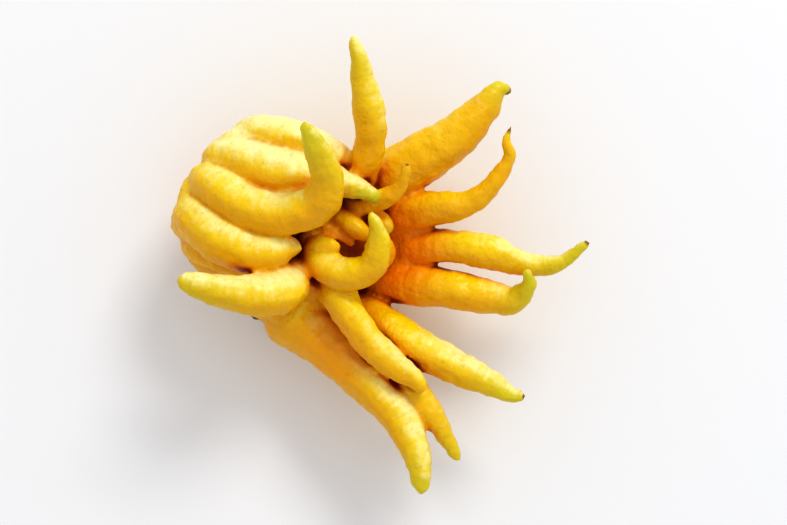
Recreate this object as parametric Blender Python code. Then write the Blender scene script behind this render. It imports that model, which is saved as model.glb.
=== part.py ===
"""A Buddha's hand citron lying on its palm, fingers curling upwards, with its cut stem.

The fruit grew as one piece: a pear-shaped palm that splits into tapering fingers.  Each
finger is a smooth route with its own thickness, and every route starts inside the palm,
so that the finger roots show as ribs on it.  All of them are fused into one solid.  The
dried stalk, with its small calyx button, is a piece of its own at the end of the palm.
"""
import math

import bmesh
import bpy
from mathutils import Vector

MM = 0.001

# ---- driving dimensions, in metres unless a comment says otherwise ----------------------
HAND_WIDTH = 0.184          # across the fingers, along X
HAND_LENGTH = 0.202         # from the lowest finger tip to the highest, along Y
HAND_HEIGHT = 0.108         # from the surface it lies on to the tallest finger tip
FINGER_FULLNESS = 1.0       # every finger's thickness, as a multiple of its route's own
PALM_FULLNESS = 1.0         # the same for the palm
REST_FLAT = 0.0020          # how deep the palm is pressed flat where it rests

STALK_DIAMETER = 0.0085
STALK_LENGTH = 0.0085       # from the calyx to the cut
CALYX_DIAMETER = 0.0150
CALYX_THICKNESS = 0.0032
CALYX_SINK = 0.0022         # how much of the calyx is sunk into the palm
STEM_GAP = 0.0003           # clearance all round the calyx, between it and its seat

# ---- how finely the fruit is made --------------------------------------------------------
FUSE_GRID = 0.0014          # the grid on which palm and fingers are fused
FUSE_SMOOTHING = 6          # passes that soften the creases between them
FRUIT_TRIANGLES = 8000
RING_SIDES = 24
STATION_STEP = 2.0 * MM     # distance between rings along a finger
TIP_STATIONS = 5            # extra rings that round each end
TIP_START = 0.3             # where the first of them lies, as a share of one ring's step
SPLINE_STEPS = 12           # straight steps between two route points

# ---- the routes --------------------------------------------------------------------------
# Each point is (x, y, z, thickness) in millimetres, from the root to the tip, for a hand
# of the layout's own size.  X runs to the right, Y away from the viewer and Z upwards.
LAYOUT_WIDTH = 184
LAYOUT_LENGTH = 202
LAYOUT_HEIGHT = 108

PALM = {
    "core": [(-57, -22, 30, 19), (-47, -15, 29, 46), (-35, -2, 28, 53), (-24, 8, 24, 47),
             (-10, 12, 24, 34), (2, 14, 26, 16)],
    "flank": [(-50, -14, 34, 34), (-36, -22, 34, 34), (-22, -28, 36, 26)],
    "back": [(-34, 8, 30, 42), (-50, 20, 38, 38), (-64, 30, 46, 26), (-74, 34, 48, 12)],
    "shoulder_web": [(-34, 22, 38, 28), (-42, 34, 50, 24), (-54, 38, 54, 18)],
    "knuckle_web": [(-42, 2, 38, 36), (-56, 4, 44, 34), (-70, 9, 46, 26)],
    "valley_web": [(-34, 31, 56, 20), (-46, 33, 61, 17), (-60, 38, 60, 16),
                   (-71, 41, 55, 18)],
    "crest_web": [(-40, 48, 56, 14), (-52, 51, 58, 15), (-62, 52, 54, 16),
                  (-69, 50, 47, 14)],
    "under_web": [(-55, -2, 38, 18), (-66, 1, 41, 14), (-73, 4, 42, 11), (-78, 6, 42, 8)],
    "outer_web": [(-76, 18, 50, 20), (-79, 27, 50, 20), (-77, 35, 49, 17),
                  (-72, 41, 50, 14)],
    "lower_fan_web": [(2, 0, 28, 14), (11, 0, 33, 17), (17, -1, 36, 16), (21, -1, 37, 12)],
    "upper_fan_web": [(0, 14, 30, 16), (10, 16, 36, 18), (18, 17, 40, 16), (23, 17, 41, 12)],
}

FINGERS = {
    "top": [(-28, 14, 20, 16), (-18, 28, 38, 16), (-8, 41, 60, 14), (-4, 54, 69, 13.5),
            (-5, 67, 75, 14), (-7, 79, 79, 11), (-9, 89, 83, 7.5), (-11, 97, 85, 3.5)],
    "broad": [(-36, 1, 14, 15), (-14, 23, 20, 21), (1, 36, 40, 24), (14.5, 44.5, 47, 23),
              (32.5, 55.5, 52, 20), (44.5, 67.5, 55, 14), (52, 77, 57, 7), (57, 75, 56, 2)],
    "swan": [(-27, 7, 12, 15), (-10, 15, 18, 17), (8, 23, 40, 18), (26, 25, 51, 15),
             (39, 27, 55, 11), (49, 35, 58, 9), (56, 46, 61, 6), (55, 54, 63, 4),
             (57, 60, 64, 1.5)],
    "pointer": [(-28, 1, 10, 15), (-9, 6, 14, 18), (12, 8, 34, 19), (30, 8.3, 46, 14.5),
                (48, 5.6, 48, 15.5), (58, 2, 48, 12.5), (69, -0.5, 47, 9.8),
                (81, 2, 50, 6.5), (91, 10, 54, 3)],
    "snub": [(-30, -5, 10, 15), (-13, -6, 14, 18), (10, -8, 34, 20), (30, -10.5, 44, 17.5),
             (48, -14, 47, 15), (59, -15.5, 50, 12), (65, -9, 58, 7.5), (63, -2, 63, 4)],
    "claw": [(-34, -9, 12, 15), (-18, -17, 18, 18), (-2, -25, 38, 19), (12, -34, 46, 18),
             (27, -42, 46, 16.5), (44, -50, 46, 13.5), (57, -57, 47, 8), (64, -58, 50, 3)],
    "ridge": [(-23, 2, 36, 16), (-20, -8, 53, 18), (-14, -20, 60, 15), (-5, -33, 60, 14),
              (7, -44, 59, 12.5), (15, -50, 58, 9), (20, -55, 57, 5)],
    "short": [(-25, -16, 28, 16), (-12, -28, 39, 16), (5, -44, 45, 14), (19, -61, 46, 13),
              (28, -74, 46, 9), (35, -87, 46, 3)],
    "heel": [(-45, -13, 24, 24), (-35, -22, 30, 33), (-20, -36, 38, 26), (-4, -52, 46, 21),
             (8, -66, 49, 17), (15, -80, 52, 13.5), (18, -92, 54, 10), (18, -100, 54, 5)],
    "curl": [(-28, 12, 40, 13), (-29, 9, 54, 15), (-25, 1, 62, 15), (-14, -4, 67, 15),
             (-4, -1, 72, 13), (0, 8, 77, 11), (-1, 16, 81, 7), (-4, 22, 84, 3)],
    "curl_knob": [(-30, 6, 54, 11), (-27, 8, 62, 11), (-20, 8, 66, 7), (-17, 8, 66, 3)],
    "crossing": [(-47, 11, 22, 18), (-66, 27, 30, 18), (-75, 36, 48, 18), (-69, 33, 64, 19),
                 (-54, 24, 72, 19), (-38, 22, 77, 18), (-25, 27, 83, 17), (-22, 38, 91, 14),
                 (-27, 50, 101, 10), (-31, 59, 107, 4)],
    "tucked": [(-50, 18, 24, 18), (-63, 38, 34, 18), (-70, 46, 50, 17), (-58, 45, 62, 19),
               (-42, 40, 68, 20), (-24, 37, 69, 17), (-10, 33, 70, 10), (0, 29, 70, 5)],
    "shoulder": [(-43, 22, 24, 18), (-53, 45, 30, 18), (-58, 55, 46, 17), (-48, 57, 59, 16),
                 (-33, 54, 62, 15), (-20, 48, 61, 13), (-9, 42, 57, 8)],
    "blunt": [(-48, 1, 20, 18), (-68, 9, 24, 20), (-81, 18, 38, 21), (-78, 20, 55, 23),
              (-67, 11, 65, 23), (-53, 6, 69, 20), (-42, 7, 70, 15), (-36, 7, 70, 7),
              (-33, 7, 71, 2.5)],
    "little": [(-33, 7, 40, 11), (-38, -1, 55, 13), (-40, -10, 68, 19), (-50, -13, 74, 19),
               (-65, -11.5, 80, 15.5), (-77, -8.5, 85, 10.5), (-85, -6, 88, 6)],
    "under": [(-50, -5, 22, 18), (-70, 1, 26, 20), (-81, 8, 37, 15), (-76, 5, 48, 12),
              (-64, -1, 52, 9)],
    "fold": [(-40, -9, 35, 14), (-47, -17, 48, 14), (-56, -18, 52, 10), (-65, -18, 52, 5)],
    "sprout_inner": [(-24, 30, 46, 9), (-17, 22, 58, 9), (-10, 16, 62, 9), (-5, 11, 61, 5)],
    "sprout_dark": [(-32, 20, 46, 7), (-25, 17, 56, 7), (-18, 13, 58, 7), (-11, 9, 57, 3)],
    "sprout_back": [(-3, 20, 46, 8), (1, 19, 60, 8), (5, 14, 63, 5)],
    "sprout_behind": [(-6, 0, 34, 10), (2, 3, 54, 9), (3, 11, 62, 5)],
    "sprout_tall": [(-15, 27, 46, 11), (-8, 26, 59, 10), (3, 29, 68, 9), (9, 34, 73, 6),
                    (12, 43, 78, 3)],
}

STEM_SEAT = Vector((-42, -10, 25))       # a point on the palm's axis, under the calyx, mm
STEM_DIRECTION = Vector((-0.60, -0.44, -0.67)).normalized()

# The outlines of the stem's two parts, from the foot up: shares of radius and of height.
CALYX_OUTLINE = [(0.86, 0.0), (1.0, 0.45), (0.93, 0.8)]
STALK_OUTLINE = [(1.25, 0.0), (1.0, 0.25), (1.04, 1.0)]


def start_empty_scene():
    for thing in list(bpy.data.objects):
        bpy.data.objects.remove(thing, do_unlink=True)


def make_material(name, colour, roughness):
    material = bpy.data.materials.new(name)
    material.use_nodes = True
    shader = material.node_tree.nodes["Principled BSDF"]
    shader.inputs["Base Color"].default_value = (*colour, 1.0)
    shader.inputs["Roughness"].default_value = roughness
    shader.inputs["Metallic"].default_value = 0.0
    return material


def add_mesh_object(name, mesh):
    thing = bpy.data.objects.new(name, mesh)
    bpy.context.scene.collection.objects.link(thing)
    return thing


def to_hand(x, y, z):
    """Place a layout point, in millimetres, in a hand of the driving sizes."""
    return Vector((x * HAND_WIDTH / LAYOUT_WIDTH,
                   y * HAND_LENGTH / LAYOUT_LENGTH,
                   z * HAND_HEIGHT / LAYOUT_HEIGHT))


def smooth_route(points, fullness):
    """Run a Catmull-Rom curve through the points; return fine (place, radius) steps."""
    knots = [(to_hand(x, y, z), 0.5 * thickness * MM * fullness)
             for x, y, z, thickness in points]
    padded = [knots[0]] + knots + [knots[-1]]
    steps = []
    for a, b, c, d in zip(padded, padded[1:], padded[2:], padded[3:]):
        for i in range(SPLINE_STEPS):
            t = i / SPLINE_STEPS
            weights = (-0.5 * t + t * t - 0.5 * t ** 3,
                       1 - 2.5 * t * t + 1.5 * t ** 3,
                       0.5 * t + 2 * t * t - 1.5 * t ** 3,
                       -0.5 * t * t + 0.5 * t ** 3)
            place = sum((w * knot[0] for w, knot in zip(weights, (a, b, c, d))), Vector())
            radius = sum(w * knot[1] for w, knot in zip(weights, (a, b, c, d)))
            steps.append((place, radius))
    steps.append(knots[-1])
    return steps


def rounded_stations(steps):
    """Give the rings of a finger: evenly spaced, and closing to a round at both ends."""
    reach = [0.0]
    for (before, _), (after, _) in zip(steps, steps[1:]):
        reach.append(reach[-1] + (after - before).length)
    length = reach[-1]
    root_radius, tip_radius = steps[0][1], steps[-1][1]
    places = [root_radius + STATION_STEP * i
              for i in range(1, int((length - root_radius - tip_radius) / STATION_STEP))]
    for i in range(TIP_STATIONS):
        inset = 1 - math.cos(math.pi / 2 * (i + TIP_START) / TIP_STATIONS)
        places += [root_radius * inset, length - tip_radius * inset]

    stations = []
    for place in sorted(places):
        k = max(i for i in range(len(reach) - 1) if reach[i] <= place)
        share = (place - reach[k]) / (reach[k + 1] - reach[k])
        centre = steps[k][0].lerp(steps[k + 1][0], share)
        radius = steps[k][1] + share * (steps[k + 1][1] - steps[k][1])
        room = min(place, length - place)
        if room < radius:
            radius = math.sqrt(room * (2 * radius - room))
        stations.append((centre, radius))
    return stations


def add_tube(curve, stations):
    spline = curve.splines.new("POLY")
    spline.points.add(len(stations) - 1)
    for point, (centre, radius) in zip(spline.points, stations):
        point.co = (*centre, 1.0)
        point.radius = radius / MM


def fused_hand():
    """Fuse the palm and the fingers into one smooth closed skin."""
    curve = bpy.data.curves.new("hand_routes", "CURVE")
    curve.dimensions = "3D"
    curve.bevel_depth = MM
    curve.bevel_resolution = RING_SIDES // 4 - 1
    curve.use_fill_caps = True
    for routes, fullness in ((PALM, PALM_FULLNESS), (FINGERS, FINGER_FULLNESS)):
        for points in routes.values():
            add_tube(curve, rounded_stations(smooth_route(points, fullness)))

    tubes = bpy.data.objects.new("hand_tubes", curve)
    bpy.context.scene.collection.objects.link(tubes)
    mesh = evaluated_copy(tubes, "hand_tubes")
    bpy.data.objects.remove(tubes)

    hand = add_mesh_object("hand_fused", mesh)
    fuse = hand.modifiers.new("fuse", "REMESH")
    fuse.mode = "VOXEL"
    fuse.voxel_size = FUSE_GRID
    soften = hand.modifiers.new("soften", "SMOOTH")
    soften.factor = 0.5
    soften.iterations = FUSE_SMOOTHING
    mesh = evaluated_copy(hand, "hand_skin")
    bpy.data.objects.remove(hand)
    keep_outer_skin(mesh)
    return mesh


def keep_outer_skin(mesh):
    """Drop the small closed pockets that fusing leaves between the finger roots."""
    shape = bmesh.new()
    shape.from_mesh(mesh)
    unseen = set(shape.verts)
    shells = []
    while unseen:
        shell = {unseen.pop()}
        front = list(shell)
        while front:
            for edge in front.pop().link_edges:
                for vertex in edge.verts:
                    if vertex in unseen:
                        unseen.remove(vertex)
                        shell.add(vertex)
                        front.append(vertex)
        shells.append(shell)
    outer = max(shells, key=len)
    bmesh.ops.delete(shape, geom=[v for v in shape.verts if v not in outer], context="VERTS")
    shape.to_mesh(mesh)
    shape.free()


def evaluated_copy(thing, name):
    graph = bpy.context.evaluated_depsgraph_get()
    mesh = bpy.data.meshes.new_from_object(thing.evaluated_get(graph))
    mesh.name = name
    return mesh


def turned_profile(name, profile, sides):
    """Turn (radius, height) pairs, from the bottom up, into a closed solid along +Z."""
    shape = bmesh.new()
    rings = []
    for radius, height in profile:
        rings.append([shape.verts.new((radius * math.cos(math.tau * i / sides),
                                       radius * math.sin(math.tau * i / sides), height))
                      for i in range(sides)])
    for low, high in zip(rings, rings[1:]):
        for i in range(sides):
            j = (i + 1) % sides
            shape.faces.new((low[i], low[j], high[j], high[i]))
    shape.faces.new(list(reversed(rings[0])))
    shape.faces.new(rings[-1])
    mesh = bpy.data.meshes.new(name)
    shape.to_mesh(mesh)
    shape.free()
    return mesh


def aim_along(thing, place, direction):
    thing.location = place
    thing.rotation_mode = "QUATERNION"
    thing.rotation_quaternion = direction.to_track_quat("Z", "Y")


def seat_on_skin(skin, inside, direction):
    """Find where a line from inside the palm leaves its skin."""
    probe = add_mesh_object("seat_probe", skin)
    bpy.context.view_layer.update()
    found, place, _, _ = probe.ray_cast(inside, direction)
    bpy.data.objects.remove(probe)
    return place if found else inside


def make_fruit(skin):
    """Press the skin flat where it rests, and thin it to the triangles that it needs."""
    fruit = add_mesh_object("fruit", skin)
    thin = fruit.modifiers.new("thin", "DECIMATE")
    skin.calc_loop_triangles()
    thin.ratio = FRUIT_TRIANGLES / len(skin.loop_triangles)
    thin.use_collapse_triangulate = True
    fruit.data = evaluated_copy(fruit, "fruit")
    fruit.modifiers.clear()
    fruit.data.shade_smooth()
    return fruit


def cut_away(thing, cutter):
    """Take the cutter's space out of the thing, then drop the cutter."""
    cut = thing.modifiers.new("cut", "BOOLEAN")
    cut.operation = "DIFFERENCE"
    cut.solver = "EXACT"
    cut.object = cutter
    bpy.context.view_layer.update()
    thing.data = evaluated_copy(thing, thing.name)
    thing.modifiers.clear()
    bpy.data.objects.remove(cutter)


def press_flat(fruit):
    """Cut the underside off by REST_FLAT, so that the palm has a face to rest on."""
    corners = [Vector(corner) for corner in fruit.bound_box]
    low = Vector([min(c[i] for c in corners) for i in range(3)])
    high = Vector([max(c[i] for c in corners) for i in range(3)])
    size = 2 * max(high - low)
    bpy.ops.mesh.primitive_cube_add(size=size)
    table = bpy.context.object
    table.location = ((low.x + high.x) / 2, (low.y + high.y) / 2,
                      low.z + REST_FLAT - size / 2)
    cut_away(fruit, table)


def make_stem(place, direction):
    """Calyx button and cut stalk, turned as one and seated in the palm."""
    calyx, stalk = CALYX_DIAMETER / 2, STALK_DIAMETER / 2
    profile = [(calyx * across, CALYX_THICKNESS * up) for across, up in CALYX_OUTLINE]
    profile += [(stalk * across, CALYX_THICKNESS + STALK_LENGTH * up)
                for across, up in STALK_OUTLINE]
    stem = add_mesh_object("stem", turned_profile("stem", profile, RING_SIDES))
    aim_along(stem, place - direction * CALYX_SINK, direction)
    stem.data.shade_smooth()

    seat = [(calyx + STEM_GAP, -STEM_GAP), (calyx + STEM_GAP, CALYX_DIAMETER)]
    cutter = add_mesh_object("stem_seat", turned_profile("stem_seat", seat, RING_SIDES))
    aim_along(cutter, stem.location, direction)
    return stem, cutter


def centre_on_rest(things):
    """Put the origin under the middle of the whole, on the surface that it rests on."""
    bpy.context.view_layer.update()
    corners = [thing.matrix_world @ vertex.co
               for thing in things for vertex in thing.data.vertices]
    low = Vector([min(c[i] for c in corners) for i in range(3)])
    high = Vector([max(c[i] for c in corners) for i in range(3)])
    shift = Vector(((low.x + high.x) / 2, (low.y + high.y) / 2, low.z))
    for thing in things:
        thing.location -= shift


start_empty_scene()
hand_skin = fused_hand()
stem_place = seat_on_skin(hand_skin, to_hand(*STEM_SEAT), STEM_DIRECTION)
fruit = make_fruit(hand_skin)
press_flat(fruit)
stem, stem_seat = make_stem(stem_place, STEM_DIRECTION)
cut_away(fruit, stem_seat)
fruit.data.materials.clear()
fruit.data.materials.append(make_material("citron_rind", (0.86, 0.60, 0.07), 0.45))
stem.data.materials.append(make_material("dried_stalk", (0.24, 0.20, 0.09), 0.8))
centre_on_rest([fruit, stem])
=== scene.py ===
"""A Buddha's hand citron resting on its palm, with its cut stalk, on a plain pale table."""
import math

import bmesh
import bpy
import numpy as np
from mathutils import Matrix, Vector
from mathutils.bvhtree import BVHTree


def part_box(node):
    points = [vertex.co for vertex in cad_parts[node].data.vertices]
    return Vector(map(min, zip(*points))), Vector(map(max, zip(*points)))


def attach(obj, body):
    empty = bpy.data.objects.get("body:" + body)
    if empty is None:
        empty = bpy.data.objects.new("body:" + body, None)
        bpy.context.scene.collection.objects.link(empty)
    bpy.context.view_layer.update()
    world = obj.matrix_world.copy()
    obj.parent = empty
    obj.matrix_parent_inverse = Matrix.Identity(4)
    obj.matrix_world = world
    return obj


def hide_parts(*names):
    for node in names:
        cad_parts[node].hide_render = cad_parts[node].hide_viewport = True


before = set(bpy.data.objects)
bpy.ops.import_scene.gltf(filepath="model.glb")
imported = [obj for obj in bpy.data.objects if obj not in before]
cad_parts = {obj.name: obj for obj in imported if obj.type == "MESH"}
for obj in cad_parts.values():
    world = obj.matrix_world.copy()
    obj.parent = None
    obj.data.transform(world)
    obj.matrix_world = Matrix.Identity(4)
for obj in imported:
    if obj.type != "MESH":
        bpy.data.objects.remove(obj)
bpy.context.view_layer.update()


# ==== the fruit: palm and fingers ==========================================================
# The whole fruit grew as one piece: a pear-shaped palm that splits into tapering fingers,
# solid white pith under a waxy rind.  Each finger follows a route with its own thickness
# and starts deep in the palm; palm and fingers are fused, then the rind gets its relief.

MM = 0.001

# Route points are (x, y, z, thickness) in millimetres, from the root to the tip.  X runs
# to the right, Y away from the stalk's side and Z up from the table.
PALM = {
    "core": [(-57, -22, 30, 19), (-47, -15, 29, 46), (-35, -2, 28, 53), (-24, 8, 24, 47),
             (-10, 12, 24, 34), (2, 14, 26, 16)],
    "flank": [(-50, -14, 34, 34), (-36, -22, 34, 34), (-22, -28, 36, 26)],
    "back": [(-34, 8, 30, 42), (-50, 20, 38, 38), (-64, 30, 46, 26), (-74, 34, 48, 12)],
    "shoulder_web": [(-34, 22, 38, 28), (-42, 34, 50, 24), (-54, 38, 54, 18)],
    "knuckle_web": [(-42, 2, 38, 36), (-56, 4, 44, 34), (-70, 9, 46, 26)],
    "valley_web": [(-34, 31, 56, 20), (-46, 33, 61, 17), (-60, 38, 60, 16),
                   (-71, 41, 55, 18)],
    "crest_web": [(-40, 48, 56, 14), (-52, 51, 58, 15), (-62, 52, 54, 16),
                  (-69, 50, 47, 14)],
    "under_web": [(-55, -2, 38, 18), (-66, 1, 41, 14), (-73, 4, 42, 11), (-78, 6, 42, 8)],
    "outer_web": [(-76, 18, 50, 20), (-79, 27, 50, 20), (-77, 35, 49, 17),
                  (-72, 41, 50, 14)],
    "lower_fan_web": [(2, 0, 28, 14), (11, 0, 33, 17), (17, -1, 36, 16), (21, -1, 37, 12)],
    "upper_fan_web": [(0, 14, 30, 16), (10, 16, 36, 18), (18, 17, 40, 16), (23, 17, 41, 12)],
}

FINGERS = {
    "top": [(-28, 14, 20, 16), (-18, 28, 38, 16), (-8, 41, 60, 14), (-4, 54, 69, 13.5),
            (-5, 67, 75, 14), (-7, 79, 79, 11), (-9, 89, 83, 7.5), (-11, 97, 85, 3.5)],
    "broad": [(-36, 1, 14, 15), (-14, 23, 20, 21), (1, 36, 40, 24), (14.5, 44.5, 47, 23),
              (32.5, 55.5, 52, 20), (44.5, 67.5, 55, 14), (52, 77, 57, 7), (57, 75, 56, 2)],
    "swan": [(-27, 7, 12, 15), (-10, 15, 18, 17), (8, 23, 40, 18), (26, 25, 51, 15),
             (39, 27, 55, 11), (49, 35, 58, 9), (56, 46, 61, 6), (55, 54, 63, 4),
             (57, 60, 64, 1.5)],
    "pointer": [(-28, 1, 10, 15), (-9, 6, 14, 18), (12, 8, 34, 19), (30, 8.3, 46, 14.5),
                (48, 5.6, 48, 15.5), (58, 2, 48, 12.5), (69, -0.5, 47, 9.8),
                (81, 2, 50, 6.5), (91, 10, 54, 3)],
    "snub": [(-30, -5, 10, 15), (-13, -6, 14, 18), (10, -8, 34, 20), (30, -10.5, 44, 17.5),
             (48, -14, 47, 15), (59, -15.5, 50, 12), (65, -9, 58, 7.5), (63, -2, 63, 4)],
    "claw": [(-34, -9, 12, 15), (-18, -17, 18, 18), (-2, -25, 38, 19), (12, -34, 46, 18),
             (27, -42, 46, 16.5), (44, -50, 46, 13.5), (57, -57, 47, 8), (64, -58, 50, 3)],
    "ridge": [(-23, 2, 36, 16), (-20, -8, 53, 18), (-14, -20, 60, 15), (-5, -33, 60, 14),
              (7, -44, 59, 12.5), (15, -50, 58, 9), (20, -55, 57, 5)],
    "short": [(-25, -16, 28, 16), (-12, -28, 39, 16), (5, -44, 45, 14), (19, -61, 46, 13),
              (28, -74, 46, 9), (35, -87, 46, 3)],
    "heel": [(-45, -13, 24, 24), (-35, -22, 30, 33), (-20, -36, 38, 26), (-4, -52, 46, 21),
             (8, -66, 49, 17), (15, -80, 52, 13.5), (18, -92, 54, 10), (18, -100, 54, 5)],
    "curl": [(-28, 12, 40, 13), (-29, 9, 54, 15), (-25, 1, 62, 15), (-14, -4, 67, 15),
             (-4, -1, 72, 13), (0, 8, 77, 11), (-1, 16, 81, 7), (-4, 22, 84, 3)],
    "curl_knob": [(-30, 6, 54, 11), (-27, 8, 62, 11), (-20, 8, 66, 7), (-17, 8, 66, 3)],
    "crossing": [(-47, 11, 22, 18), (-66, 27, 30, 18), (-75, 36, 48, 18), (-69, 33, 64, 19),
                 (-54, 24, 72, 19), (-38, 22, 77, 18), (-25, 27, 83, 17), (-22, 38, 91, 14),
                 (-27, 50, 101, 10), (-31, 59, 107, 4)],
    "tucked": [(-50, 18, 24, 18), (-63, 38, 34, 18), (-70, 46, 50, 17), (-58, 45, 62, 19),
               (-42, 40, 68, 20), (-24, 37, 69, 17), (-10, 33, 70, 10), (0, 29, 70, 5)],
    "shoulder": [(-43, 22, 24, 18), (-53, 45, 30, 18), (-58, 55, 46, 17), (-48, 57, 59, 16),
                 (-33, 54, 62, 15), (-20, 48, 61, 13), (-9, 42, 57, 8)],
    "blunt": [(-48, 1, 20, 18), (-68, 9, 24, 20), (-81, 18, 38, 21), (-78, 20, 55, 23),
              (-67, 11, 65, 23), (-53, 6, 69, 20), (-42, 7, 70, 15), (-36, 7, 70, 7),
              (-33, 7, 71, 2.5)],
    "little": [(-33, 7, 40, 11), (-38, -1, 55, 13), (-40, -10, 68, 19), (-50, -13, 74, 19),
               (-65, -11.5, 80, 15.5), (-77, -8.5, 85, 10.5), (-85, -6, 88, 6)],
    "under": [(-50, -5, 22, 18), (-70, 1, 26, 20), (-81, 8, 37, 15), (-76, 5, 48, 12),
              (-64, -1, 52, 9)],
    "fold": [(-40, -9, 35, 14), (-47, -17, 48, 14), (-56, -18, 52, 10), (-65, -18, 52, 5)],
    "sprout_inner": [(-24, 30, 46, 9), (-17, 22, 58, 9), (-10, 16, 62, 9), (-5, 11, 61, 5)],
    "sprout_dark": [(-32, 20, 46, 7), (-25, 17, 56, 7), (-18, 13, 58, 7), (-11, 9, 57, 3)],
    "sprout_back": [(-3, 20, 46, 8), (1, 19, 60, 8), (5, 14, 63, 5)],
    "sprout_behind": [(-6, 0, 34, 10), (2, 3, 54, 9), (3, 11, 62, 5)],
    "sprout_tall": [(-15, 27, 46, 11), (-8, 26, 59, 10), (3, 29, 68, 9), (9, 34, 73, 6),
                    (12, 43, 78, 3)],
}

# How ripe each finger is: how far back from its tip it is still green, and how green (0 to
# 1); how long its dried brown style is; and how pale the rest of it is (0 golden, 1 pale
# lemon).  Lengths are in millimetres.
RIPENESS = {
    "top": (62, 0.55, 0, 0.85), "broad": (22, 0.7, 2, 0.5), "swan": (16, 0.4, 3, 0.5),
    "pointer": (58, 0.75, 1.3, 0.7), "snub": (42, 0.8, 0, 0.6),
    "claw": (46, 0.75, 0.9, 0.75), "ridge": (6, 0.0, 0.5, 0.75), "short": (40, 0.6, 0.6, 0.5),
    "heel": (34, 0.7, 0.3, 0.85), "curl": (34, 0.55, 0, 0.85),
    "curl_knob": (2, 0.0, 0, 0.6), "crossing": (44, 0.75, 0.3, 0.7),
    "tucked": (22, 1.0, 0, 0.95), "shoulder": (4, 0.0, 0, 1.0), "blunt": (4, 0.0, 0, 0.85),
    "little": (60, 0.55, 0, 0.75), "under": (4, 0.0, 0, 0.5), "fold": (4, 0.0, 0, 0.7),
    "sprout_inner": (3, 0.0, 0, 0.6), "sprout_dark": (2, 0.0, 0, 0.0),
    "sprout_back": (6, 0.7, 0, 0.4), "sprout_behind": (6, 0.6, 0, 0.5),
    "sprout_tall": (10, 0.4, 0.6, 0.1),
}

FUSE_GRID = 1.05 * MM        # the grid on which palm and fingers are fused
FUSE_SMOOTHING = 2           # passes that soften the creases between them
ROUTE_STEP = 0.8 * MM        # distance between rings along a finger
RING_SIDES = 32
SPLINE_STEPS = 24            # straight steps between two route points
END_RINGS = 6                # extra rings that round each end
END_START = 0.3              # where the first of them lies, as a share of one ring's step


def smooth_route(points):
    """Run a Catmull-Rom curve through route points; return fine places and radii."""
    knots = np.array(points, float) * (MM, MM, MM, 0.5 * MM)
    padded = np.vstack([knots[:1], knots, knots[-1:]])
    t = np.arange(SPLINE_STEPS)[:, None] / SPLINE_STEPS
    weights = (-0.5 * t + t * t - 0.5 * t ** 3, 1 - 2.5 * t * t + 1.5 * t ** 3,
               0.5 * t + 2 * t * t - 1.5 * t ** 3, -0.5 * t * t + 0.5 * t ** 3)
    spans = [sum(w * padded[i + k] for k, w in enumerate(weights))
             for i in range(len(points) - 1)]
    fine = np.vstack(spans + [knots[-1:]])
    return fine[:, :3], fine[:, 3]


def finger_rings(points):
    """Give evenly spaced rings along a route, which close to a round at both ends."""
    places, radii = smooth_route(points)
    reach = np.concatenate([[0], np.cumsum(np.linalg.norm(np.diff(places, axis=0), axis=1))])
    root, tip, length = radii[0], radii[-1], reach[-1]
    inset = 1 - np.cos(math.pi / 2 * (np.arange(END_RINGS) + END_START) / END_RINGS)
    stops = np.concatenate([root * inset, np.arange(root, length - tip, ROUTE_STEP),
                            length - tip * inset[::-1]])
    centres = np.stack([np.interp(stops, reach, places[:, k]) for k in range(3)], axis=1)
    widths = np.interp(stops, reach, radii)
    room = np.minimum(stops, length - stops)
    closing = np.sqrt(np.maximum(room * (2 * widths - room), 0))
    return centres, np.where(room < widths, closing, widths), stops, length


def evaluated_mesh(thing, name):
    """Turn an object, as its modifiers leave it, into a plain mesh, and drop the object."""
    graph = bpy.context.evaluated_depsgraph_get()
    mesh = bpy.data.meshes.new_from_object(thing.evaluated_get(graph))
    mesh.name = name
    bpy.data.objects.remove(thing)
    return mesh


def add_object(name, data):
    thing = bpy.data.objects.new(name, data)
    bpy.context.scene.collection.objects.link(thing)
    return thing


def fused_hand(routes):
    """Lay a tube along every route and fuse them all into one smooth closed skin."""
    curve = bpy.data.curves.new("hand_tubes", "CURVE")
    curve.dimensions = "3D"
    curve.bevel_depth = MM
    curve.bevel_resolution = RING_SIDES // 4 - 1
    curve.use_fill_caps = True
    for centres, widths, _, _ in routes:
        spline = curve.splines.new("POLY")
        spline.points.add(len(centres) - 1)
        spline.points.foreach_set("co", np.insert(centres, 3, 1.0, axis=1).ravel())
        spline.points.foreach_set("radius", widths / MM)
    tubes = evaluated_mesh(add_object("hand_tubes", curve), "hand_tubes")

    hand = add_object("hand", tubes)
    fuse = hand.modifiers.new("fuse", "REMESH")
    fuse.mode = "VOXEL"
    fuse.voxel_size = FUSE_GRID
    soften = hand.modifiers.new("soften", "SMOOTH")
    soften.factor = 0.5
    soften.iterations = FUSE_SMOOTHING
    return evaluated_mesh(hand, "hand_skin")


def places_of(mesh):
    flat = np.empty(len(mesh.vertices) * 3)
    mesh.vertices.foreach_get("co", flat)
    return flat.reshape(-1, 3)


def normals_of(mesh):
    flat = np.empty(len(mesh.vertices) * 3)
    mesh.vertex_normals.foreach_get("vector", flat)
    return flat.reshape(-1, 3)


def edges_of(mesh):
    flat = np.empty(len(mesh.edges) * 2, int)
    mesh.edges.foreach_get("vertices", flat)
    return flat.reshape(-1, 2)


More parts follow.
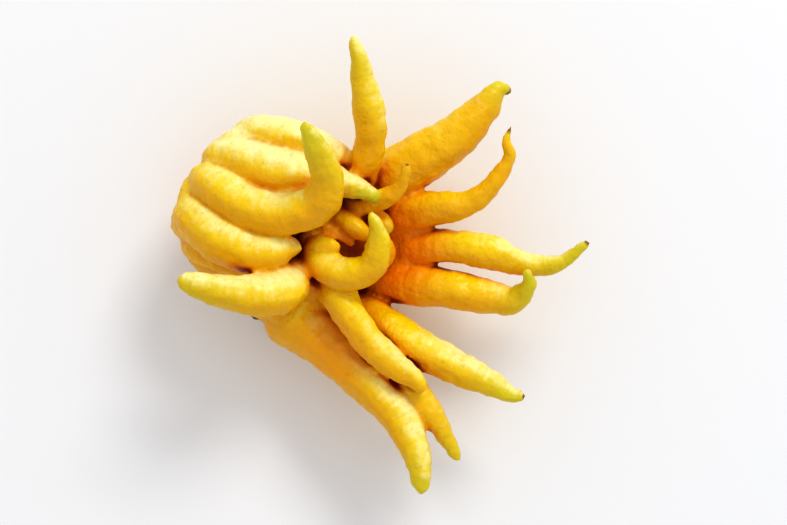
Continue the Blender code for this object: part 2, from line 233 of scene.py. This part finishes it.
def keep_outer_skin(mesh):
    """Drop the small closed pockets that fusing leaves between the finger roots."""
    shell = np.arange(len(mesh.vertices))
    edges = edges_of(mesh)
    while True:
        lower = np.minimum(shell[edges[:, 0]], shell[edges[:, 1]])
        spread = shell.copy()
        np.minimum.at(spread, edges[:, 0], lower)
        np.minimum.at(spread, edges[:, 1], lower)
        spread = spread[spread]
        if (spread == shell).all():
            break
        shell = spread
    outer = np.bincount(shell).argmax()
    shape = bmesh.new()
    shape.from_mesh(mesh)
    shape.verts.ensure_lookup_table()
    pockets = [shape.verts[i] for i in np.flatnonzero(shell != outer)]
    bmesh.ops.delete(shape, geom=pockets, context="VERTS")
    shape.to_mesh(mesh)
    shape.free()


PATTERN_SHIFT = 50 * MM      # sets the pattern of each finger apart from the next one's
FINGER_MARGIN = 1.5 * MM     # the ribs of a finger fade out this close to its neighbour
STYLE_FADE = 1.5             # a dried style ends at this many times its length


def follow_routes(places, routes):
    """Say, for every place on the skin, which finger it lies on and where.

    Returns the place on a straightened finger (distance from the tip, and two across it),
    how sure the choice of finger is, and how green, dried and pale that finger is there.
    """
    nearest = np.full(len(places), np.inf)
    second = np.full(len(places), np.inf)
    straight = np.zeros((len(places), 3))
    green = np.zeros(len(places))
    dry = np.zeros(len(places))
    pale = np.zeros(len(places))
    for number, (name, (centres, widths, stops, length)) in enumerate(routes.items()):
        ahead = np.gradient(centres, axis=0)
        ahead /= np.linalg.norm(ahead, axis=1, keepdims=True)
        side = Vector((0, 0, 1)).cross(Vector(ahead[0])).normalized()
        sides = []
        for heading in ahead:
            side = (side - side.dot(Vector(heading)) * Vector(heading)).normalized()
            sides.append(side.copy())
        sides = np.array(sides)
        ups = np.cross(ahead, sides)

        gap = np.full(len(places), np.inf)
        ring = np.zeros(len(places), int)
        for k in range(len(centres)):
            here = np.linalg.norm(places - centres[k], axis=1) - widths[k]
            closer = here < gap
            gap[closer] = here[closer]
            ring[closer] = k
        won = gap < nearest
        dry[won] = 0
        second = np.where(won, nearest, np.minimum(second, gap))
        nearest = np.where(won, gap, nearest)

        out = places[won] - centres[ring[won]]
        on = ring[won]
        past = np.einsum("ij,ij->i", out, ahead[on])
        from_tip = length - stops[on] - past
        straight[won, 0] = from_tip
        straight[won, 1] = np.einsum("ij,ij->i", out, sides[on])
        straight[won, 1] += PATTERN_SHIFT * number
        straight[won, 2] = np.einsum("ij,ij->i", out, ups[on])
        green_reach, greenness, dry_reach, pale[won] = RIPENESS[name]
        green[won] = greenness * np.clip(1 - from_tip / (green_reach * MM), 0, 1)
        if dry_reach:
            dry[won] = np.clip(STYLE_FADE - from_tip / (dry_reach * MM), 0, 1)
    sure = np.clip((second - nearest) / FINGER_MARGIN, 0, 1)
    return straight, sure, green, dry, pale


HOLLOW_RAYS = 20
HOLLOW_REACH = 32 * MM
RAY_START = 0.3 * MM         # rays start this far above the skin, so that they miss it


def hollowness(mesh):
    """Find how hidden each place on the skin is, from open (0) to deep in a fold (1)."""
    places, normals = places_of(mesh), normals_of(mesh)
    tree = BVHTree.FromPolygons(places.tolist(),
                                [tuple(face.vertices) for face in mesh.polygons])
    turn = math.pi * (3 - math.sqrt(5))
    rays = []
    for i in range(HOLLOW_RAYS):
        rise = math.sqrt(1 - (i + 0.5) / HOLLOW_RAYS)
        flat = math.sqrt(1 - rise * rise)
        rays.append((flat * math.cos(turn * i), flat * math.sin(turn * i), rise))
    hidden = np.zeros(len(places))
    for i, (place, normal) in enumerate(zip(places, normals)):
        up = Vector(normal)
        across = up.orthogonal().normalized()
        along = up.cross(across)
        start = Vector(place) + up * RAY_START
        for x, y, z in rays:
            distance = tree.ray_cast(start, across * x + along * y + up * z,
                                     HOLLOW_REACH)[3]
            if distance is not None:
                hidden[i] += 1 - distance / HOLLOW_REACH
    return hidden / HOLLOW_RAYS


def smoothed(values, edges, passes):
    """Even out a value over the skin by averaging each place with its neighbours."""
    count = np.bincount(edges.ravel(), minlength=len(values))
    for _ in range(passes):
        around = np.bincount(edges[:, 0], values[edges[:, 1]], len(values))
        around += np.bincount(edges[:, 1], values[edges[:, 0]], len(values))
        values = 0.5 * values + 0.5 * around / np.maximum(count, 1)
    return values


CREASE_BEND = 0.05 * MM      # a place this far below its neighbours is fully in a crease
CREASE_PASSES = 3


def creases(mesh, edges):
    """Find the narrow lines along which fingers press together, from 0 to 1."""
    places, normals = places_of(mesh), normals_of(mesh)
    around = np.stack([smoothed(places[:, k], edges, 1) for k in range(3)], axis=1)
    bend = smoothed(np.einsum("ij,ij->i", around - places, normals), edges,
                    CREASE_PASSES)
    return np.clip(bend / CREASE_BEND, 0, 1)


def store(mesh, name, values):
    kind = "FLOAT" if values.ndim == 1 else "FLOAT_VECTOR"
    attribute = mesh.attributes.new(name, kind, "POINT")
    attribute.data.foreach_set("value" if values.ndim == 1 else "vector", values.ravel())


def add_node(tree, kind, links, **settings):
    """Add a node; links gives each socket, by name or number, a value or a source."""
    node = tree.nodes.new(kind)
    for name, value in settings.items():
        setattr(node, name, value)
    for socket, value in links.items():
        if isinstance(value, bpy.types.NodeSocket):
            tree.links.new(value, node.inputs[socket])
        else:
            node.inputs[socket].default_value = value
    return node


# Painted light: the rind is made palest on the side that faces the window light, as a painted
# highlight, and less pale on the side turned away, as painted shade; its paleness there and
# on the shaded side.
PAINTED_LIGHT_SIDE = np.array((0.30, 0.84, 0.45))
PAINTED_SHADE_PALENESS = 0.2
PAINTED_LIGHT_PALENESS = 1.15

# How many times each value is evened out over the skin, so that its edges are soft.
SURE_PASSES = 4
GREEN_PASSES = 3
PALE_PASSES = 8
HOLLOW_PASSES = 4

finger_routes = {name: finger_rings(points) for name, points in FINGERS.items()}
palm_routes = {name: finger_rings(points) for name, points in PALM.items()}
hand = fused_hand([*palm_routes.values(), *finger_routes.values()])
keep_outer_skin(hand)

hand_places = places_of(hand)
straight, sure, green, dry, pale = follow_routes(hand_places, finger_routes)
hand_edges = edges_of(hand)
store(hand, "straight", straight)
store(hand, "sure", smoothed(sure, hand_edges, SURE_PASSES))
store(hand, "green", smoothed(green, hand_edges, GREEN_PASSES))
store(hand, "dry", dry)
# The pale attribute is each finger's own paleness times this painted light factor.
painted_light_factor = np.clip(PAINTED_SHADE_PALENESS + PAINTED_LIGHT_PALENESS * normals_of(hand) @ PAINTED_LIGHT_SIDE, 0, None)
store(hand, "pale", smoothed(pale * painted_light_factor, hand_edges, PALE_PASSES))
# hollow and crease drive the painted shade in the rind's colour.
store(hand, "hollow", smoothed(hollowness(hand), hand_edges, HOLLOW_PASSES))
store(hand, "crease", creases(hand, hand_edges))

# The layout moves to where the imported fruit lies: centred over its box, tops level.
fruit_low, fruit_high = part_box("fruit")
skin_low, skin_high = hand_places.min(axis=0), hand_places.max(axis=0)
layout_shift = Vector(((fruit_low.x + fruit_high.x - skin_low[0] - skin_high[0]) / 2,
                       (fruit_low.y + fruit_high.y - skin_low[1] - skin_high[1]) / 2,
                       fruit_high.z - skin_high[2]))
for vertex in hand.vertices:
    vertex.co += layout_shift

# The calyx sits in a shallow dimple; the imported stem gives its place, found along a given
# direction.
STEM_DIRECTION = Vector((-0.60, -0.44, -0.67)).normalized()
stem_places = [v.co.copy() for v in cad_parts["stem"].data.vertices]
stem_reach = [place.dot(STEM_DIRECTION) for place in stem_places]


def middle_of_end(end_reach):
    ends = [p for p, r in zip(stem_places, stem_reach) if abs(r - end_reach) < 0.1 * MM]
    return sum(ends, Vector()) / len(ends)


stem_base = middle_of_end(min(stem_reach))
stem_cut = middle_of_end(max(stem_reach))


def rind_relief_tree():
    """Lumps, ribs along the fingers, cross wrinkles, the calyx dimple and the rest face."""
    tree = bpy.data.node_groups.new("rind_relief", "GeometryNodeTree")
    face = tree.interface
    face.new_socket("Geometry", in_out="INPUT", socket_type="NodeSocketGeometry")
    for name in ("Lump Size", "Lump Height", "Rib Width", "Rib Height", "Wrinkle Spacing",
                 "Wrinkle Height", "Dimple Radius", "Dimple Depth", "Rest Height", "Seed"):
        face.new_socket(name, in_out="INPUT", socket_type="NodeSocketFloat")
    face.new_socket("Dimple Place", in_out="INPUT", socket_type="NodeSocketVector")
    face.new_socket("Dimple Inwards", in_out="INPUT", socket_type="NodeSocketVector")
    face.new_socket("Rind", in_out="INPUT", socket_type="NodeSocketMaterial")
    face.new_socket("Geometry", in_out="OUTPUT", socket_type="NodeSocketGeometry")
    given = tree.nodes.new("NodeGroupInput").outputs

    def math_node(operation, a, b=0.0):
        return add_node(tree, "ShaderNodeMath", {0: a, 1: b}, operation=operation).outputs[0]

    def vector_node(operation, a, b):
        links = {0: a, "Scale": b} if operation == "SCALE" else {0: a, 1: b}
        return add_node(tree, "ShaderNodeVectorMath", links, operation=operation).outputs

    def swing(vector, scale, detail, height):
        """Noise that swings between minus and plus a height."""
        noise = add_node(tree, "ShaderNodeTexNoise",
                         {"Vector": vector, "W": given["Seed"], "Scale": scale,
                          "Detail": detail}, noise_dimensions="4D").outputs[0]
        return math_node("MULTIPLY", math_node("SUBTRACT", noise, 0.5),
                         math_node("MULTIPLY", height, 2.0))

    def named(name, kind):
        node = add_node(tree, "GeometryNodeInputNamedAttribute", {"Name": name},
                        data_type=kind)
        return node.outputs["Attribute"]

    place = tree.nodes.new("GeometryNodeInputPosition").outputs[0]
    normal = tree.nodes.new("GeometryNodeInputNormal").outputs[0]
    on_finger, sure = named("straight", "FLOAT_VECTOR"), named("sure", "FLOAT")

    lumps = swing(place, math_node("DIVIDE", 1.0, given["Lump Size"]), 3.0,
                  given["Lump Height"])
    long_ways = vector_node("MULTIPLY", on_finger, (0.16, 1.0, 1.0))[0]
    ribs = swing(long_ways, math_node("DIVIDE", 1.0, given["Rib Width"]), 1.0,
                 given["Rib Height"])
    cross_ways = vector_node("MULTIPLY", on_finger, (1.0, 0.12, 0.12))[0]
    wrinkles = swing(cross_ways, math_node("DIVIDE", 1.0, given["Wrinkle Spacing"]), 1.0,
                     given["Wrinkle Height"])
    along = math_node("MULTIPLY", math_node("ADD", ribs, wrinkles), sure)
    lift = vector_node("SCALE", normal, math_node("ADD", lumps, along))[0]

    near = add_node(tree, "ShaderNodeMapRange",
                    {"Value": vector_node("DISTANCE", place, given["Dimple Place"])[1],
                     "From Min": given["Dimple Radius"], "From Max": 0.0,
                     "To Min": 0.0, "To Max": given["Dimple Depth"]},
                    interpolation_type="SMOOTHSTEP").outputs[0]
    dimple = vector_node("SCALE", given["Dimple Inwards"], near)[0]
    shaped = add_node(tree, "GeometryNodeSetPosition",
                      {"Geometry": given["Geometry"],
                       "Offset": vector_node("ADD", lift, dimple)[0]}).outputs[0]

    parts = add_node(tree, "ShaderNodeSeparateXYZ", {0: place}).outputs
    rested = add_node(tree, "ShaderNodeCombineXYZ",
                      {0: parts[0], 1: parts[1],
                       2: math_node("MAXIMUM", parts[2], given["Rest Height"])}).outputs[0]
    laid = add_node(tree, "GeometryNodeSetPosition",
                    {"Geometry": shaped, "Position": rested}).outputs[0]
    single = add_node(tree, "GeometryNodeRealizeInstances", {"Geometry": laid}).outputs[0]
    finished = add_node(tree, "GeometryNodeSetMaterial",
                        {"Geometry": single, "Material": given["Rind"]}).outputs[0]
    add_node(tree, "NodeGroupOutput", {"Geometry": finished})
    return tree


def from_hex(code):
    """Turn an sRGB colour such as "#F2C21A" into the linear one that a shader takes."""
    channels = [int(code[i:i + 2], 16) / 255 for i in (1, 3, 5)]
    linear = [c / 12.92 if c <= 0.04045 else ((c + 0.055) / 1.055) ** 2.4 for c in channels]
    return (*linear, 1.0)


# Painted shade between the fingers, darker there: orange at the heart of the whorl and where
# the thick lower finger meets the ridge along it, and wine red inside the curled finger.
WHORL_HEART = Vector((6 * MM, 8 * MM, 38 * MM)) + layout_shift
HEEL_FOLD = Vector((-15 * MM, -34 * MM, 46 * MM)) + layout_shift
CURL_HOLE = Vector((-13 * MM, 9 * MM, 46 * MM)) + layout_shift

# The grain of the rind.  Pores and wrinkles are drawn a little coarser than real ones, so
# that they show at arm's length.
BLOTCH_SIZE = 22 * MM
MOTTLE_SIZE = 4 * MM
FRECKLE_SIZE = 3 * MM
PORE_SIZE = 1.8 * MM
FINE_WRINKLE_SIZE = 1.8 * MM
GRAIN_DEPTH = 0.6 * MM
SEE_THROUGH_DEPTH = 3 * MM


def waxy_citron_rind():
    """Thick waxy citron rind: lemon to golden yellow, pored, semi-gloss and a little
    see-through, with painted shade that turns folds, hollows and the underside orange and a
    painted highlight that turns the side facing the window cream; unripe green ends and dried
    brown styles."""
    rind = bpy.data.materials.new("waxy_citron_rind")
    rind.use_nodes = True
    tree = rind.node_tree
    shader = tree.nodes["Principled BSDF"]

    def value_of(name, output="Fac"):
        return add_node(tree, "ShaderNodeAttribute", {}, attribute_name=name).outputs[output]

    def ramp(value, low, high, low_result=0.0, high_result=1.0):
        return add_node(tree, "ShaderNodeMapRange",
                        {"Value": value, "From Min": low, "From Max": high,
                         "To Min": low_result, "To Max": high_result},
                        interpolation_type="SMOOTHSTEP").outputs[0]

    def noise(vector, size, detail=2.0):
        return add_node(tree, "ShaderNodeTexNoise",
                        {"Vector": vector, "Scale": 1 / size, "Detail": detail}).outputs[0]

    def mixed(share, under, over):
        under = from_hex(under) if isinstance(under, str) else under
        over = from_hex(over) if isinstance(over, str) else over
        return add_node(tree, "ShaderNodeMix", {0: share, 6: under, 7: over},
                        data_type="RGBA").outputs[2]

    def times(a, b):
        return add_node(tree, "ShaderNodeMath", {0: a, 1: b}, operation="MULTIPLY").outputs[0]

    def plus(a, b):
        return add_node(tree, "ShaderNodeMath", {0: a, 1: b}, operation="ADD").outputs[0]

    def away_from(spot):
        return add_node(tree, "ShaderNodeVectorMath", {0: place, 1: spot},
                        operation="DISTANCE").outputs["Value"]

    place = add_node(tree, "ShaderNodeTexCoord", {}).outputs["Object"]
    on_finger = value_of("straight", "Vector")
    hollow, green = value_of("hollow"), value_of("green")
    dry, pale, crease = value_of("dry"), value_of("pale"), value_of("crease")

    blotches = noise(place, BLOTCH_SIZE)
    freckles = noise(place, FRECKLE_SIZE, 4.0)
    mottle = noise(place, MOTTLE_SIZE, 3.0)
    across = add_node(tree, "ShaderNodeVectorMath", {0: on_finger, 1: (1.0, 0.1, 0.1)},
                      operation="MULTIPLY").outputs[0]
    wrinkles = noise(across, FINE_WRINKLE_SIZE, 1.0)
    pores = add_node(tree, "ShaderNodeTexVoronoi",
                     {"Vector": place, "Scale": 1 / PORE_SIZE, "Smoothness": 0.4},
                     feature="SMOOTH_F1").outputs["Distance"]

    # Golden to lemon, green towards the tips, and cream: the pale attribute carries painted
    # light, so the side facing the window is painted lemon and cream as a painted highlight,
    # broken up by mottle and wrinkles.
    colour = mixed(ramp(plus(pale, times(blotches, 0.5)), 0.2, 1.2), "#ECB200", "#FADA00")
    green_share = ramp(plus(green, times(freckles, 0.16)), 0.12, 0.95)
    colour = mixed(green_share, colour, "#D6CE2A")
    # Painted highlight: cream where the painted light in the pale attribute is strong, away
    # from the whorl's heart, mixed with mottle and fine wrinkles.
    paler = times(pale, ramp(away_from(WHORL_HEART), 20 * MM, 56 * MM))
    cream_mottle_and_highlight = plus(plus(times(paler, 0.8), times(mottle, 0.6)), times(wrinkles, 0.4))
    colour = mixed(ramp(cream_mottle_and_highlight, 0.82, 1.45, 0.0, 0.95), colour, "#FEF2AC")
    colour = mixed(ramp(pores, 0.4, 0.1, 0.0, 0.12), colour, "#E0A000")

    # Painted shade: orange in the hollows and underneath, around the folds and along the
    # creases, and deep red in the deepest hollows.
    # The painted shade follows the hollow attribute, made uneven by blotches.
    shade_and_blotches = plus(hollow, plus(times(blotches, 0.16), -0.08))
    colour = mixed(ramp(shade_and_blotches, 0.24, 0.55), colour, "#F29C00")
    low_down = add_node(tree, "ShaderNodeSeparateXYZ", {0: place}).outputs[2]
    # Painted shade underneath: more orange the lower the rind lies.
    colour = mixed(ramp(low_down, 50 * MM, 12 * MM, 0.0, 0.5), colour, "#E09200")
    fold_shade_height = ramp(low_down, 28 * MM, 38 * MM)
    # Painted shade around the folds, kept above the underside.
    for fold, reach, share, fold_shade_colour in ((WHORL_HEART, 34 * MM, 0.9, "#F89400"),
                                     (HEEL_FOLD, 26 * MM, 0.75, "#F6A400"),
                                     (CURL_HOLE, 15 * MM, 0.85, "#9A2E00")):
        nearness = ramp(away_from(fold), reach, 0.35 * reach, 0.0, share)
        fold_shade_share = times(fold_shade_height, nearness)
        colour = mixed(fold_shade_share, colour, fold_shade_colour)
    # Painted shade along the creases.
    colour = mixed(ramp(crease, 0.2, 0.9, 0.0, 0.6), colour, "#EC9C00")
    # Painted shade: deep red in the deepest hollows.
    colour = mixed(ramp(shade_and_blotches, 0.43, 0.62), colour, "#922200")

    # A few darker freckles, and the dried styles at the tips.
    colour = mixed(times(ramp(freckles, 0.58, 0.72), 0.2), colour, "#CC8200")
    dried = plus(dry, times(plus(freckles, -0.5), 1.2))
    colour = mixed(ramp(dried, 0.2, 1.0), colour, "#8A5A20")
    tree.links.new(colour, shader.inputs["Base Color"])

    fine = plus(times(pores, 0.6), times(wrinkles, 0.5))
    grain = plus(fine, times(mottle, 0.6))
    bump = add_node(tree, "ShaderNodeBump",
                    {"Strength": 0.6, "Distance": GRAIN_DEPTH, "Height": grain})
    tree.links.new(bump.outputs[0], shader.inputs["Normal"])
    roughness = ramp(freckles, 0.3, 0.7, 0.34, 0.48)
    tree.links.new(roughness, shader.inputs["Roughness"])

    shader.inputs["IOR"].default_value = 1.45
    shader.inputs["Subsurface Weight"].default_value = 0.25
    shader.inputs["Subsurface Radius"].default_value = (1.0, 0.45, 0.08)
    shader.inputs["Subsurface Scale"].default_value = SEE_THROUGH_DEPTH
    shader.inputs["Specular IOR Level"].default_value = 0.4
    shader.inputs["Coat Weight"].default_value = 0.12
    shader.inputs["Coat Roughness"].default_value = 0.28
    return rind


# The relief that is real shape: swellings, ribs along a finger and rings across it.
LUMP_SIZE = 7 * MM
LUMP_HEIGHT = 1.5 * MM
RIB_WIDTH = 5 * MM
RIB_HEIGHT = 0.7 * MM
WRINKLE_SPACING = 3 * MM
WRINKLE_HEIGHT = 0.3 * MM
DIMPLE_RADIUS = 10 * MM
DIMPLE_DEPTH = 1.5 * MM
REST_HEIGHT = 0.1 * MM       # the rest face lies this far above the table, clear of it
RELIEF_SEED = 7.0

rough_hand = add_object("rough_hand", hand)
relief = rough_hand.modifiers.new("relief", "NODES")
relief.node_group = rind_relief_tree()
relief_values = {
    "Lump Size": LUMP_SIZE, "Lump Height": LUMP_HEIGHT, "Rib Width": RIB_WIDTH,
    "Rib Height": RIB_HEIGHT, "Wrinkle Spacing": WRINKLE_SPACING,
    "Wrinkle Height": WRINKLE_HEIGHT, "Dimple Radius": DIMPLE_RADIUS,
    "Dimple Depth": DIMPLE_DEPTH, "Rest Height": REST_HEIGHT, "Seed": RELIEF_SEED,
    "Dimple Place": stem_base, "Dimple Inwards": -STEM_DIRECTION,
    "Rind": waxy_citron_rind(),
}
for item in relief.node_group.interface.items_tree:
    if item.in_out == "INPUT" and item.name in relief_values:
        relief[item.identifier] = relief_values[item.name]

citron = add_object("citron", evaluated_mesh(rough_hand, "citron"))
citron.data.shade_smooth()
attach(citron, "root")
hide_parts("fruit")


# ==== the stem: calyx button and cut stalk =================================================
# The stalk that held the fruit, cut short at picking, with the small five-lobed calyx left
# round its foot.  Both are woody and drying; the clippers leave a pale, flat cut.

STEM_SIDES = 60
CALYX_LOBES = 5
BARK_RIDGES = 9              # the bark has ridges of two spacings round the stalk
FINE_BARK_RIDGES = 14
STREAK_SIZE = 1.2 * MM
CALYX_RADIUS = 7.5 * MM
STALK_RADIUS = 4.25 * MM
stem_length = (stem_cut - stem_base).length

# Each ring of the stem: share of the length, radius, and how lobed and how ridged it is.
STEM_RINGS = [
    (0.00, CALYX_RADIUS * 0.80, 0.05, 0.00), (0.06, CALYX_RADIUS * 0.95, 0.07, 0.00),
    (0.14, CALYX_RADIUS * 0.99, 0.08, 0.00), (0.21, CALYX_RADIUS * 0.93, 0.08, 0.01),
    (0.25, CALYX_RADIUS * 0.78, 0.06, 0.02), (0.27, STALK_RADIUS * 1.22, 0.02, 0.04),
    (0.36, STALK_RADIUS * 1.04, 0.01, 0.05), (0.55, STALK_RADIUS * 0.96, 0.00, 0.05),
    (0.78, STALK_RADIUS * 0.97, 0.00, 0.05), (0.95, STALK_RADIUS * 1.02, 0.00, 0.04),
    (0.99, STALK_RADIUS * 1.00, 0.00, 0.03), (1.00, STALK_RADIUS * 0.94, 0.00, 0.02),
    (0.995, STALK_RADIUS * 0.60, 0.00, 0.00), (0.985, STALK_RADIUS * 0.20, 0.00, 0.00),
]


def stem_mesh():
    shape = bmesh.new()
    facing = STEM_DIRECTION.to_track_quat("Z", "Y")
    rings = []
    for share, radius, lobed, ridged in STEM_RINGS:
        ring = []
        for i in range(STEM_SIDES):
            turn = math.tau * i / STEM_SIDES
            swell = 1 + lobed * math.cos(CALYX_LOBES * turn)
            swell += ridged * (math.sin(BARK_RIDGES * turn + 6 * share)
                               + 0.6 * math.sin(FINE_BARK_RIDGES * turn))
            spot = Vector((radius * swell * math.cos(turn), radius * swell * math.sin(turn),
                           share * stem_length))
            ring.append(shape.verts.new(stem_base + facing @ spot))
        rings.append(ring)
    for low, high in zip(rings, rings[1:]):
        for i in range(STEM_SIDES):
            j = (i + 1) % STEM_SIDES
            shape.faces.new((low[i], low[j], high[j], high[i]))
    shape.faces.new(list(reversed(rings[0])))
    shape.faces.new(rings[-1])
    mesh = bpy.data.meshes.new("stalk")
    shape.to_mesh(mesh)
    shape.free()
    return mesh


def dried_stalk():
    """Green-brown citrus bark, dull and finely streaked, with pale wood at the cut."""
    bark = bpy.data.materials.new("dried_stalk_bark")
    bark.use_nodes = True
    tree = bark.node_tree
    shader = tree.nodes["Principled BSDF"]
    place = add_node(tree, "ShaderNodeTexCoord", {}).outputs["Object"]
    from_cut = add_node(tree, "ShaderNodeVectorMath", {0: place, 1: stem_cut},
                        operation="SUBTRACT").outputs[0]
    behind = add_node(tree, "ShaderNodeVectorMath", {0: from_cut, 1: STEM_DIRECTION},
                      operation="DOT_PRODUCT").outputs["Value"]
    streaks = add_node(tree, "ShaderNodeTexNoise",
                       {"Vector": place, "Scale": 1 / STREAK_SIZE, "Detail": 4.0}).outputs[0]
    bark_colour = add_node(tree, "ShaderNodeMix",
                           {0: streaks, 6: from_hex("#4E4A22"), 7: from_hex("#8C8148")},
                           data_type="RGBA").outputs[2]
    cut = add_node(tree, "ShaderNodeMapRange",
                   {"Value": behind, "From Min": -0.35 * MM, "From Max": -0.1 * MM},
                   ).outputs[0]
    colour = add_node(tree, "ShaderNodeMix",
                      {0: cut, 6: bark_colour, 7: from_hex("#C9B684")},
                      data_type="RGBA").outputs[2]
    tree.links.new(colour, shader.inputs["Base Color"])
    bump = add_node(tree, "ShaderNodeBump",
                    {"Strength": 0.5, "Distance": 0.4 * MM, "Height": streaks})
    tree.links.new(bump.outputs[0], shader.inputs["Normal"])
    shader.inputs["Roughness"].default_value = 0.8
    return bark


stalk = add_object("stalk", stem_mesh())
stalk.data.shade_smooth()
stalk.data.materials.append(dried_stalk())
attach(stalk, "root")
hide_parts("stem")


# ==== the table, the light and the camera ==================================================
# A plain pale table, a large soft light high behind the fruit as from a window, and a
# bright room that fills the shadows.  The camera looks straight down on the open fingers.

TABLE_SIZE = 6.0
ROOM_BRIGHTNESS = 0.585
WINDOW_WIDTH = 1.3
WINDOW_HEIGHT = 0.95
WINDOW_POWER = 37.5
WINDOW_PLACE = Vector((1.2, 2.3, 2.4))
WINDOW_AIM = Vector((0.0, 0.0, 0.04))

bpy.ops.mesh.primitive_plane_add(size=TABLE_SIZE)
table = bpy.context.object
table.name = "table"
pale_table = bpy.data.materials.new("pale_matt_table")
pale_table.use_nodes = True
table_shader = pale_table.node_tree.nodes["Principled BSDF"]
table_shader.inputs["Base Color"].default_value = from_hex("#F3F3F3")
table_shader.inputs["Roughness"].default_value = 0.7
table.data.materials.append(pale_table)

room = bpy.data.worlds.new("bright_room")
room.use_nodes = True
room.node_tree.nodes["Background"].inputs[0].default_value = from_hex("#F7F8FB")
room.node_tree.nodes["Background"].inputs[1].default_value = ROOM_BRIGHTNESS
bpy.context.scene.world = room

window = bpy.data.lights.new("window", "AREA")
window.shape = "RECTANGLE"
window.size = WINDOW_WIDTH
window.size_y = WINDOW_HEIGHT
window.energy = WINDOW_POWER
window.color = (1.0, 0.995, 0.985)
window_light = add_object("window", window)
window_light.location = WINDOW_PLACE
window_light.rotation_euler = (WINDOW_AIM - WINDOW_PLACE).to_track_quat("-Z", "Y").to_euler()

CAMERA_HEIGHT = 1.0
FINGER_LEVEL = 0.045         # the height at which the frame's width is taken
FRAME_WIDTH = 0.3463
VIEW_MIDDLE = Vector((6 * MM, 1 * MM, 0.0)) + layout_shift
camera_data = bpy.data.cameras.new("camera")
camera_data.lens = camera_data.sensor_width * (CAMERA_HEIGHT - FINGER_LEVEL) / FRAME_WIDTH
camera = add_object("camera", camera_data)
camera.location = (VIEW_MIDDLE.x, VIEW_MIDDLE.y, CAMERA_HEIGHT)
bpy.context.scene.camera = camera

# Plain colours with some contrast, as in bright, clear daylight.
bpy.context.scene.view_settings.view_transform = "Standard"
bpy.context.scene.view_settings.look = "High Contrast"
